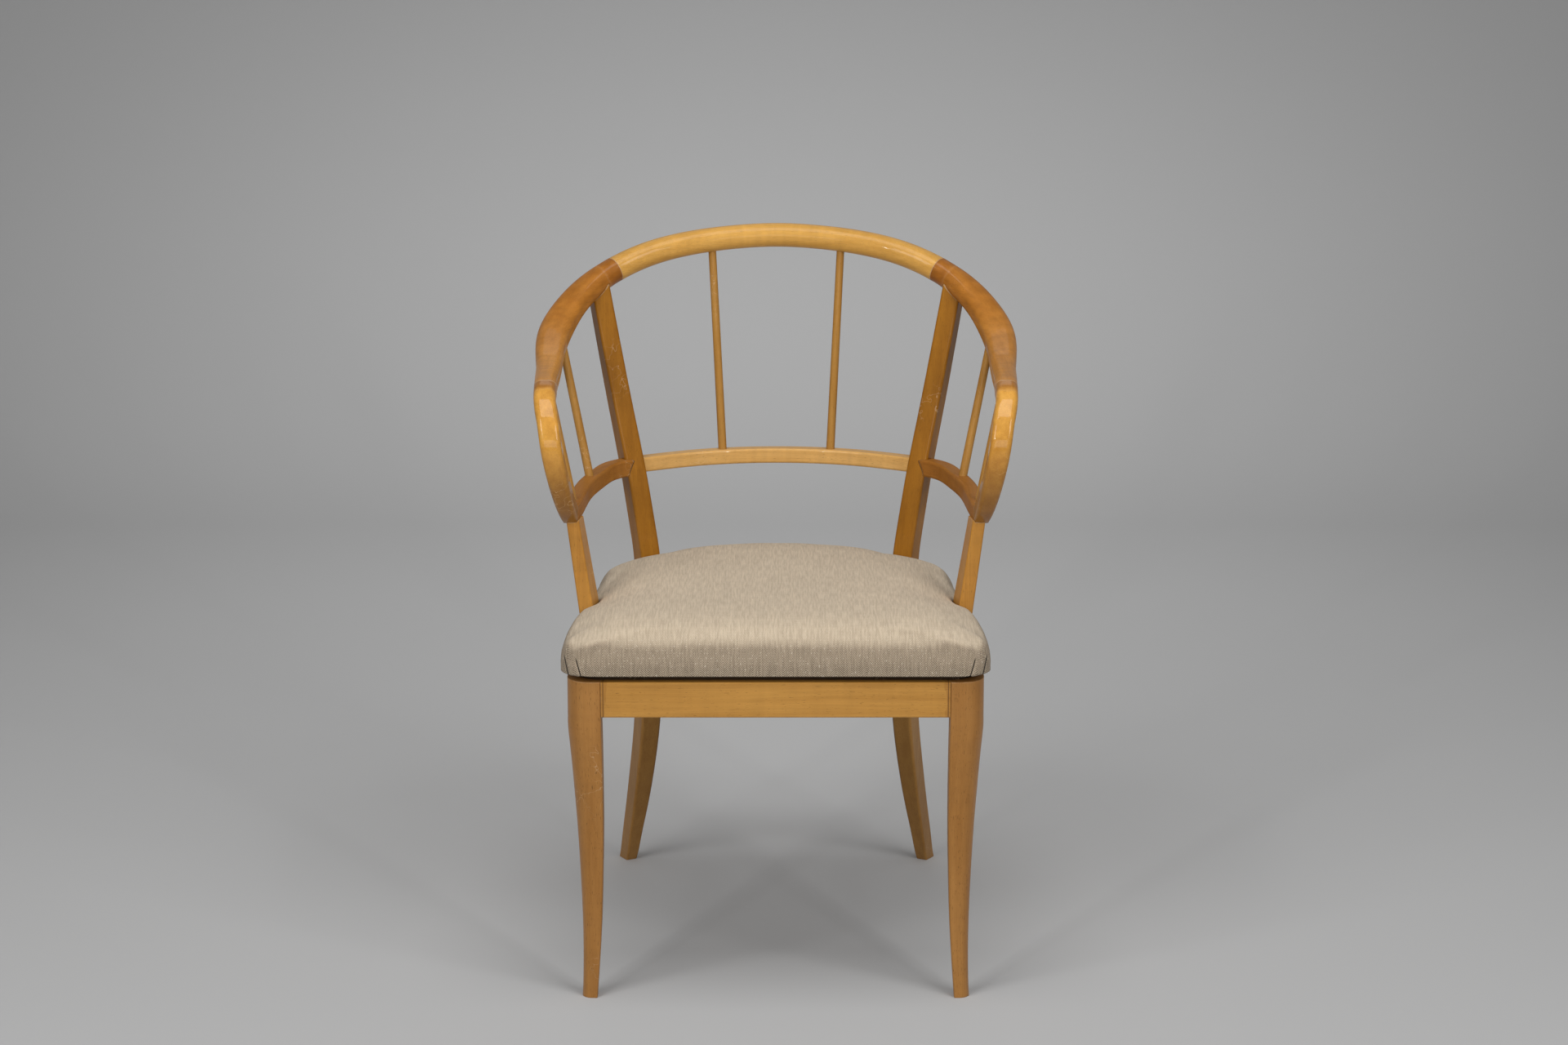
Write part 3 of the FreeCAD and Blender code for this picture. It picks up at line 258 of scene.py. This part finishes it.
def wood(name, grain, light, deep, seed=0.0, figure=0.35, fleck=0.5, wear_and_highlight=0.5, coat=0.3,
         gloss=0.2, joints=(), low=None):
    """Lacquered hardwood: streaks and flecks along the grain, pale arrises of wear and painted
    highlight, soft gloss.

    The tone runs between light and deep. low names two heights, and the light and deep
    tones that hold under the first of them.
    """
    graph = Graph(name)
    flow = grain(graph)
    warp = graph.stretched(flow, (3, 9, 9), (seed, 0, 0))
    shift = graph.centred_noise(warp, 1.0, 2, 0.012)
    along, across, over = graph.parts(flow)
    bent = graph.vector(along, graph.plus(across, shift), graph.plus(over, shift))
    blotch = graph.noise(graph.stretched(bent, (5, 16, 16), (seed, seed, 0)), detail=3)
    streak = graph.noise(graph.stretched(bent, (2.2, 120, 120), (seed, 0, seed)), detail=4,
                         roughness=0.6)
    fibre = graph.noise(graph.stretched(bent, (14, 900, 900), (0, seed, 0)), detail=2)
    curl = graph.noise(graph.stretched(bent, (110, 20, 20), (seed, 0, 0)), detail=1)
    tick = graph.noise(graph.stretched(bent, (160, 1500, 1500), (0, 0, seed)), detail=1)
    ticks = graph.clamped(tick, 0.66, 0.74)

    tone = graph.plus(graph.times(graph.clamped(blotch, 0.25, 0.75), 0.55),
                      graph.times(graph.clamped(streak, 0.28, 0.72), 0.45))
    colour = graph.mix(tone, light, deep)
    if low:
        floor, ceiling, *tones = low
        height = graph.parts(graph.place())[2]
        colour = graph.mix(graph.clamped(height, floor, ceiling), graph.mix(tone, *tones), colour)
    shade = graph.ranged(fibre, 0.84, 1.14)
    shimmer = graph.ranged(curl, 1 - 0.3 * figure, 1 + 0.3 * figure)
    colour = graph.shaded(colour, graph.times(shade, shimmer))
    colour = graph.mix(graph.times(ticks, fleck), colour, tuple(0.32 * part for part in deep))

    pale = tuple(min(1.0, 0.55 * part + 0.42 * level)
                 for part, level in zip(light, (1.0, 0.82, 0.58)))
    rubbed_and_highlit, rounded_normal = worn_and_highlit_arris(graph, flow, seed)
    # Pale arrises: rubbed lacquer, and a painted highlight along every edge.
    colour = graph.mix(graph.times(rubbed_and_highlit, wear_and_highlight), colour, pale)
    colour = graph.mix(graph.times(scratches(graph, flow, seed), 0.45), colour, pale)
    for joint in joints:
        colour = jointed(graph, colour, pale if joint[0] in BOW_JOINTS else DARK_SEAM, *joint)

    haze = graph.noise(graph.stretched(flow, (30, 60, 60), (0, seed, 0)), detail=4)
    ripple = graph.noise(graph.stretched(flow, (22, 40, 40), (seed, 0, 0)), detail=2)
    soft = graph.bump(ripple, 0.0010, 0.35, rounded_normal)
    fine = graph.plus(fibre, graph.times(ticks, -0.8))
    graph.set(
        Base_Color=colour,
        Roughness=graph.ranged(haze, 0.36, 0.52),
        Specular_IOR_Level=gloss,
        Specular_Tint=(1.0, 0.82, 0.55),
        Coat_Weight=coat,
        Coat_Roughness=0.05,
        Coat_IOR=1.5,
        Normal=graph.bump(fine, 0.00012, 0.30, soft),
    )
    return graph.material


def dress(material, *names):
    """Puts a material on every slot of the named CAD nodes."""
    for name in names:
        for slot in nodes[name].material_slots:
            slot.material = material


def pair(name):
    return name + "_left", name + "_right"


dress(wood("bow_crest", grain_along_bow, (0.70, 0.385, 0.092), (0.51, 0.255, 0.048), 1.3,
           fleck=0.35), "crest_rail")
dress(wood("bow_shoulder", grain_along_bow, (0.46, 0.18, 0.026), (0.29, 0.098, 0.011), 4.1,
           figure=0.6, low=(0.68, 0.755, (0.58, 0.265, 0.055), (0.40, 0.165, 0.026)),
           joints=[(CREST_JOINT, 1, 0.024, 0.84), (ARM_JOINT, -1, 0.004, 0.9)]),
      *pair("shoulder"))
# The arms' darker tones below 0.56 to 0.65 m are painted shade on their lower part, which curves
# in and faces down.
dress(wood("bow_arm", grain_along_bow, (0.72, 0.365, 0.066), (0.48, 0.210, 0.029), 7.7,
           figure=0.5, coat=0.6, joints=[(ARM_JOINT, 1, 0.026, 0.60)],
           low=(0.56, 0.65, (0.36, 0.165, 0.030), (0.25, 0.098, 0.014))), *pair("arm_front"))
dress(wood("rail_back_wood", grain_along_bow, (0.72, 0.42, 0.14), (0.57, 0.30, 0.080), 2.9),
      "mid_rail_back")
dress(wood("rail_side_wood", grain_along_bow, (0.40, 0.170, 0.034), (0.27, 0.098, 0.016), 5.2,
           coat=0.05, gloss=0.05), *pair("mid_rail"))
# The posts' strong pale arrises are painted highlight lines along their edges as well as wear.
dress(wood("post_wood", grain_upright, (0.37, 0.150, 0.011), (0.24, 0.088, 0.005), 3.3,
           figure=0.2, wear_and_highlight=1.0, coat=0.35,
           low=(0.30, 0.42, (0.38, 0.19, 0.046), (0.26, 0.12, 0.025))), *pair("rear_post"))
dress(wood("arm_post_wood", grain_upright, (0.51, 0.242, 0.044), (0.36, 0.147, 0.022), 6.4,
           wear_and_highlight=0.7), *pair("arm_post"))
dress(wood("spindle_wood", grain_upright, (0.46, 0.235, 0.055), (0.31, 0.14, 0.024), 8.8,
           figure=0.1), *pair("back_spindle"), *pair("side_spindle"), *pair("front_spindle"))
dress(wood("leg_wood", grain_upright, (0.40, 0.188, 0.050), (0.288, 0.123, 0.027), 9.5,
           figure=0.2, fleck=0.8), *pair("front_leg"))
dress(wood("front_rail_wood", grain_crosswise, (0.52, 0.262, 0.057), (0.375, 0.172, 0.032), 0.7,
           figure=0.2, joints=[(RAIL_SEAM, -1, 0.003, 0.85)]), "seat_rail_front")
dress(wood("back_rail_wood", grain_crosswise, (0.44, 0.21, 0.048), (0.31, 0.14, 0.026), 1.9),
      "seat_rail_back")
dress(wood("side_rail_wood", grain_deep, (0.44, 0.21, 0.045), (0.31, 0.14, 0.026), 2.2),
      *pair("seat_rail"))
dress(wood("block_wood", grain_upright, (0.62, 0.46, 0.28), (0.50, 0.34, 0.19), 3.8, coat=0.0,
           wear_and_highlight=0.1), *pair("corner_block_front"), *pair("corner_block_rear"))
dress(wood("dowel_wood", grain_upright, (0.64, 0.48, 0.30), (0.54, 0.38, 0.22), 5.9, coat=0.0,
           wear_and_highlight=0.0), "bow_dowels", "mid_rail_dowels", "seat_rail_dowels")
# The seat board is near black so the gap under the pad's front edge reads dark: painted shade.
dress(wood("board_dark_for_shade", grain_crosswise, (0.075, 0.045, 0.026), (0.045, 0.026, 0.015), 7.1,
           coat=0.0, wear_and_highlight=0.1), "seat_board")


# SCREWS

def steel():
    """Brushed steel with a few brown stains."""
    graph = Graph("screw_steel")
    place = graph.place()
    brushed = graph.noise(graph.stretched(place, (900, 900, 120)), detail=3)
    stain = graph.clamped(graph.noise(place, 60, 3), 0.45, 0.75)
    graph.set(
        Base_Color=graph.mix(stain, (0.58, 0.58, 0.57), (0.40, 0.37, 0.33)),
        Metallic=1.0,
        Roughness=graph.ranged(brushed, 0.28, 0.50),
        Normal=graph.bump(brushed, 0.00008, 0.3),
    )
    return graph.material


dress(steel(), "seat_screws", "corner_block_screws", "arm_post_screws")


# SEAT PAD

PAD_VOXEL = 0.004
PAD_SWELL = 0.005
HELD_HEIGHT = 0.014
SWELL_FRAMES = 20
WALL_FOOT = 0.008
EDGE_RADIUS = 0.0012
EDGE_REACH = 0.006
COVER_STAND = 0.0016
POST_GAP = 0.0006


def new_piece(name, mesh):
    piece = bpy.data.objects.new(name, mesh)
    scene.collection.objects.link(piece)
    return piece


def applied(piece):
    """Makes the piece's modifiers real."""
    graph = bpy.context.evaluated_depsgraph_get()
    mesh = bpy.data.meshes.new_from_object(piece.evaluated_get(graph))
    piece.modifiers.clear()
    piece.data = mesh


def shade_smooth(piece):
    for face in piece.data.polygons:
        face.use_smooth = True


def finer(piece, levels):
    """Subdivides the piece's mesh and makes all its modifiers real."""
    divide = piece.modifiers.new("finer", "SUBSURF")
    divide.levels = levels
    divide.render_levels = levels
    applied(piece)


def swell(piece, rests_below):
    """Blows the pad up like a tight cushion; what rests on the board and rails stays."""
    start = [vertex.co.copy() for vertex in piece.data.vertices]
    held = piece.vertex_groups.new(name="held")
    held.add([at for at, place in enumerate(start) if place.z < rests_below], 1.0, "REPLACE")
    cloth = piece.modifiers.new("cloth", "CLOTH")
    cloth.settings.quality = 5
    cloth.settings.vertex_group_mass = "held"
    cloth.settings.tension_stiffness = 30
    cloth.settings.compression_stiffness = 30
    cloth.settings.shear_stiffness = 15
    cloth.settings.bending_stiffness = 2
    cloth.settings.use_pressure = True
    cloth.settings.uniform_pressure_force = 4
    cloth.settings.effector_weights.gravity = 0
    cloth.point_cache.frame_start = 1
    cloth.point_cache.frame_end = SWELL_FRAMES
    for step in range(1, SWELL_FRAMES + 1):
        scene.frame_set(step)
    applied(piece)
    scene.frame_set(1)
    for vertex, first in zip(piece.data.vertices, start):
        move = vertex.co - first
        if move.length > PAD_SWELL:
            vertex.co = first + move.normalized() * PAD_SWELL


def stepped(value, low, high):
    """0 below low, 1 above high, with a straight rise between."""
    return min(1.0, max(0.0, (value - low) / (high - low)))


def smoothed(piece, name, chosen, passes, level):
    """Evens out part of the surface; a level surface only moves up and down."""
    group = piece.vertex_groups.new(name=name)
    for vertex in piece.data.vertices:
        group.add([vertex.index], chosen(vertex), "REPLACE")
    ease = piece.modifiers.new(name, "SMOOTH")
    ease.vertex_group = name
    ease.factor = 0.5
    ease.iterations = passes
    ease.use_x = ease.use_y = not level
    applied(piece)
    piece.vertex_groups.clear()


def squared(mesh, low):
    """Draws the rounded lower edge out to the wall above it, as a tight cover does."""
    wall = [vertex.co for vertex in mesh.vertices
            if low + WALL_FOOT < vertex.co.z < low + WALL_FOOT + 0.002]
    near = KDTree(len(wall))
    for at, place in enumerate(wall):
        near.insert((place.x, place.y, 0), at)
    near.balance()
    below = [vertex.normal.z < -0.94 for vertex in mesh.vertices]
    for vertex, is_below in zip(mesh.vertices, below):
        up = vertex.co.z - low
        if up > WALL_FOOT or is_below:
            continue
        spot, _, distance = near.find((vertex.co.x, vertex.co.y, 0))
        if distance < EDGE_REACH:
            stay = EDGE_RADIUS * max(0.0, 1 - up / EDGE_RADIUS) ** 2
            move = max(0.0, distance - stay) / max(distance, 1e-9)
            vertex.co.x += (spot.x - vertex.co.x) * move
            vertex.co.y += (spot.y - vertex.co.y) * move


def keep_clear(mesh, names, gap):
    """Moves points that touch a neighbour back out to the gap."""
    for name in names:
        tree = BVHTree.FromObject(nodes[name], bpy.context.evaluated_depsgraph_get())
        low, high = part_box(name)
        for vertex in mesh.vertices:
            if not all(a - gap < b < c + gap for a, b, c in zip(low, vertex.co, high)):
                continue
            spot, normal, _, distance = tree.find_nearest(vertex.co, 0.02)
            if spot is None:
                continue
            outside = (vertex.co - spot).dot(normal) > 0
            if distance < gap or not outside:
                vertex.co = spot + normal * gap


pad = new_piece("seat_pad", nodes["seat_foam"].data.copy())
voxels = pad.modifiers.new("voxels", "REMESH")
voxels.mode = "VOXEL"
voxels.voxel_size = PAD_VOXEL
applied(pad)
foam_low, foam_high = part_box("seat_foam")
swell(pad, foam_low.z + HELD_HEIGHT)
smoothed(pad, "crown", lambda vertex: stepped(vertex.normal.z, 0.80, 0.97), 160, True)
smoothed(pad, "round", lambda vertex: stepped(vertex.co.z - foam_low.z, 0.008, 0.018), 16, False)
for vertex, normal in [(v, v.normal.copy()) for v in pad.data.vertices]:
    vertex.co += normal * COVER_STAND
finer(pad, 1)
squared(pad.data, foam_low.z - COVER_STAND)
keep_clear(pad.data, (*pair("arm_post"), *pair("rear_post"), "seat_board"), POST_GAP)
shade_smooth(pad)


# FOLDED CORNERS

# Height above the pad's lower edge, then the distance from the middle line of the fold's
# outer and inner seams there.
FOLD_ROWS = ((0.0008, 0.2352, 0.2206), (0.0060, 0.2366, 0.2222), (0.0115, 0.2380, 0.2237),
             (0.0160, 0.2388, 0.2250), (0.0195, 0.2378, 0.2266))
FOLD_STEPS = 9
FOLD_HEIGHT = 0.0009
FOLD_TUCK = 0.0008
FOLD_CLOTH = 0.0006
AHEAD_OF_PAD = -0.5


def corner_fold(side, name):
    """Tuck of cloth between two seams on a front corner, bulging a little between them."""
    tree = BVHTree.FromObject(pad, bpy.context.evaluated_depsgraph_get())
    shape = bmesh.new()
    grid = []
    for row, (up, outer, inner) in enumerate(FOLD_ROWS):
        line = []
        for step in range(FOLD_STEPS):
            share = step / (FOLD_STEPS - 1)
            x = side * (outer + (inner - outer) * share)
            start = Vector((x, AHEAD_OF_PAD, foam_low.z + up))
            spot, normal, _, _ = tree.ray_cast(start, Vector((0, 1, 0)))
            bulge = (1 - (2 * share - 1) ** 4) * (1 - (row / (len(FOLD_ROWS) - 1)) ** 3)
            lift = FOLD_HEIGHT * bulge - FOLD_TUCK * (1 - bulge)
            line.append(shape.verts.new(spot + normal * lift))
        grid.append(line)
    for low, high in zip(grid, grid[1:]):
        for step in range(FOLD_STEPS - 1):
            corners = (low[step], low[step + 1], high[step + 1], high[step])
            shape.faces.new(corners if side < 0 else corners[::-1])
    bmesh.ops.recalc_face_normals(shape, faces=shape.faces)
    mesh = bpy.data.meshes.new(name)
    shape.to_mesh(mesh)
    shape.free()
    fold = new_piece(name, mesh)
    thick = fold.modifiers.new("thick", "SOLIDIFY")
    thick.thickness = FOLD_CLOTH
    thick.offset = 0
    finer(fold, 2)
    shade_smooth(fold)
    return fold


folds = [corner_fold(-1, "corner_fold_left"), corner_fold(1, "corner_fold_right")]


# UPHOLSTERY

YARN_PITCH = 0.0025
COLUMN_WIDTH = 0.0085
CREASE_SHADE_COLOUR = (0.022, 0.017, 0.012)


def cloth_directions(graph):
    """Lengths across and down the cloth, which hangs over the edges of the pad, and how far it
    faces up, which sets the painted shade of the front and sides.
    """
    x, y, z = graph.parts(graph.place())
    turned, rearward, lean = graph.parts(graph.add("ShaderNodeTexCoord").outputs["Normal"])
    beside = graph.math("GREATER_THAN", graph.absolute(turned), 0.76)
    across = graph.math("MULTIPLY_ADD", beside, graph.minus(y, x), x)
    down = graph.minus(graph.plus(y, z), graph.times(beside, y))
    behind = graph.math("GREATER_THAN", rearward, 0.35)
    drop = graph.minus(z, foam_high.z - 0.010)
    down = graph.minus(down, graph.times(behind, graph.times(drop, 2.0)))
    return across, down, graph.clamped(lean, 0.50, 0.96)


def upholstery(name, folded):
    """Herringbone linen: narrow columns of diagonal yarn that turn about, with slubs."""
    graph = Graph(name)
    place = graph.place()
    across, down, lit_top_share = cloth_directions(graph)

    def yarn_noise(per_metre_across, per_metre_down, layer, detail):
        spot = graph.vector(graph.times(across, per_metre_across),
                            graph.times(down, per_metre_down), layer)
        return graph.noise(spot, detail=detail)

    strayed = graph.plus(across, graph.centred_noise(place, 11, 2, 0.006))
    turn = graph.math("PINGPONG", graph.math("DIVIDE", strayed, COLUMN_WIDTH), 1.0)
    slant = graph.times(turn, -COLUMN_WIDTH if folded else COLUMN_WIDTH)
    run = graph.plus(graph.plus(down, slant), graph.centred_noise(place, 240, 2, 0.0012))
    line = graph.math("SINE", graph.times(run, 2 * math.pi / YARN_PITCH))
    dark_yarn = graph.clamped(line, -0.25, 0.75)
    slub = yarn_noise(520, 36, 0.0, 3)
    weft = yarn_noise(24, 620, 0.0, 2)
    thread = yarn_noise(1300, 1300, 0.0, 1)
    speck = graph.clamped(yarn_noise(900, 260, 3.0, 1), 0.64, 0.74)
    warp = yarn_noise(210, 7, 5.0, 2)

    # The front and sides get darker pale and dark yarns, and more dark yarn, than the top: painted
    # shade.
    pale = graph.mix(graph.clamped(slub, 0.32, 0.68), (0.54, 0.44, 0.322), (0.658, 0.545, 0.402))
    pale = graph.mix(lit_top_share, graph.mix(1.0, pale, (0.62, 0.60, 0.58), "MULTIPLY"), pale)
    thick = graph.clamped(slub, 0.3, 0.7)
    dark = graph.mix(thick, (0.085, 0.064, 0.045), (0.165, 0.126, 0.092))
    dark = graph.mix(lit_top_share, dark, graph.mix(thick, (0.31, 0.24, 0.165), (0.41, 0.33, 0.235)))
    cloth = graph.mix(graph.times(dark_yarn, graph.ranged(lit_top_share, 0.88, 0.62)), pale, dark)
    cloth = graph.mix(graph.times(speck, 0.55), cloth, (0.72, 0.64, 0.52))
    shade = graph.times(graph.ranged(thread, 0.76, 1.24), graph.ranged(weft, 0.90, 1.10))
    cloth = graph.shaded(cloth, shade)
    broad = graph.times(graph.ranged(graph.noise(place, 9, 3), 0.94, 1.06),
                        graph.ranged(warp, 0.90, 1.10))
    cloth = graph.shaded(cloth, broad)
    # Painted shade: near black lines in the creases beside each corner fold.
    if not folded:
        cloth = graph.mix(crease_shade_lines(graph), cloth, CREASE_SHADE_COLOUR)
    height = graph.plus(graph.times(line, -0.5), graph.times(thread, 0.6))
    graph.set(
        Base_Color=cloth,
        Roughness=0.9,
        Specular_IOR_Level=0.2,
        Sheen_Weight=0.08,
        Sheen_Roughness=0.5,
        Normal=graph.bump(height, 0.0004, 0.45),
    )
    return graph.material


def crease_shade_lines(graph):
    """Painted shade: dark lines in the two creases of each folded front corner."""
    x, y, z = graph.parts(graph.place())
    up = graph.minus(z, foam_low.z)
    low, high = FOLD_ROWS[0], FOLD_ROWS[3]
    lines = []
    for number in (1, 2):
        slope = (high[number] - low[number]) / (high[0] - low[0])
        seam = graph.math("MULTIPLY_ADD", up, slope, low[number] - slope * low[0])
        off = graph.absolute(graph.minus(graph.absolute(x), seam))
        lines.append(graph.fading(off, 0.0003, 0.0011))
    below = graph.fading(up, 0.0165, 0.0215)
    ahead = graph.math("LESS_THAN", y, -0.22)
    return graph.times(graph.times(graph.math("MAXIMUM", *lines), below), ahead)


def cover(piece, material):
    piece.data.materials.clear()
    piece.data.materials.append(material)
    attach(piece, "root")


cover(pad, upholstery("upholstery_weave", False))
for fold in folds:
    cover(fold, upholstery("upholstery_fold", True))
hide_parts("seat_foam", "seat_cover")


# STAGE

SWEEP_NEAR = -16.0
SWEEP_BEND = 2.2
SWEEP_RADIUS = 1.4
SWEEP_TOP = 6.0
SWEEP_HALF_WIDTH = 14.0
SWEEP_STEPS = 12


def backdrop():
    """Floor and wall of one pale sheet, with a painted pool of light that makes it paler behind
    and around the chair.
    """
    profile = [(SWEEP_NEAR, 0.0), (SWEEP_BEND, 0.0)]
    for step in range(1, SWEEP_STEPS + 1):
        angle = math.radians(90 * step / SWEEP_STEPS)
        profile.append((SWEEP_BEND + SWEEP_RADIUS * math.sin(angle),
                        SWEEP_RADIUS - SWEEP_RADIUS * math.cos(angle)))
    profile.append((SWEEP_BEND + SWEEP_RADIUS, SWEEP_TOP))
    shape = bmesh.new()
    rows = [[shape.verts.new((x, y, z)) for x in (-SWEEP_HALF_WIDTH, SWEEP_HALF_WIDTH)]
            for y, z in profile]
    for near, far in zip(rows, rows[1:]):
        shape.faces.new((near[0], near[1], far[1], far[0]))
    mesh = bpy.data.meshes.new("studio_sweep")
    shape.to_mesh(mesh)
    shape.free()
    sweep = new_piece("studio_sweep", mesh)
    shade_smooth(sweep)
    graph = Graph("studio_paper")
    # Painted light: the sheet is paler within an oval about a spot behind the chair, where floor
    # turns into wall.
    painted_light_pool = graph.stretched(graph.place(), (1 / 2.6, 1 / 3.4, 1 / 1.2), (0, -2.6 / 3.4, -0.2 / 1.2))
    away = graph.add("ShaderNodeVectorMath", operation="LENGTH")
    graph.feed(away.inputs[0], painted_light_pool)
    graph.set(
        Base_Color=graph.mix(graph.clamped(away.outputs["Value"], 0.0, 1.0),
                             (0.78, 0.78, 0.78), (0.47, 0.47, 0.47)),
        Roughness=0.95,
        Specular_IOR_Level=0.1,
    )
    mesh.materials.append(graph.material)


def softbox(name, place, target, width, height, power):
    """Rectangular lamp in watts, turned to face the target."""
    lamp = bpy.data.lights.new(name, "AREA")
    lamp.shape = "RECTANGLE"
    lamp.size = width
    lamp.size_y = height
    lamp.energy = power
    holder = bpy.data.objects.new(name, lamp)
    holder.location = place
    aim = Vector(target) - Vector(place)
    holder.rotation_euler = aim.to_track_quat("-Z", "Y").to_euler()
    scene.collection.objects.link(holder)


backdrop()
softbox("key_left", (-2.1, -2.5, 2.2), (0, 0, 0.4), 1.5, 1.5, 43)
softbox("key_right", (2.1, -2.5, 2.2), (0, 0, 0.4), 1.5, 1.5, 43)
softbox("overhead", (0, -0.9, 3.2), (0, 0.05, 0.4), 2.2, 1.6, 38)
softbox("low_front", (0, -4.9, 1.0), (0, 0.5, 0.0), 2.8, 1.0, 17)
softbox("strip_left", (-1.5, -3.0, 1.5), (-0.2, 0, 0.6), 0.10, 0.35, 8)
softbox("strip_right", (1.5, -3.0, 1.5), (0.2, 0, 0.6), 0.10, 0.35, 8)
softbox("behind", (0, 2.4, 2.8), (0, 0, 0.5), 1.6, 1.0, 3)

world = bpy.data.worlds.new("studio_air")
world.use_nodes = True
air = world.node_tree.nodes["Background"]
air.inputs["Color"].default_value = (1, 1, 1, 1)
air.inputs["Strength"].default_value = 0.15
scene.world = world


# CAMERA

CAMERA_PLACE = (0.0095, -4.3216, 1.499)
CAMERA_TILT_DOWN = 12.92

camera = bpy.data.objects.new("camera", bpy.data.cameras.new("camera"))
camera.data.lens = 85
camera.data.sensor_width = 36
camera.data.sensor_fit = "HORIZONTAL"
camera.location = CAMERA_PLACE
camera.rotation_euler = (math.radians(90 - CAMERA_TILT_DOWN), 0, 0)
scene.collection.objects.link(camera)
scene.camera = camera
scene.view_settings.view_transform = "Standard"
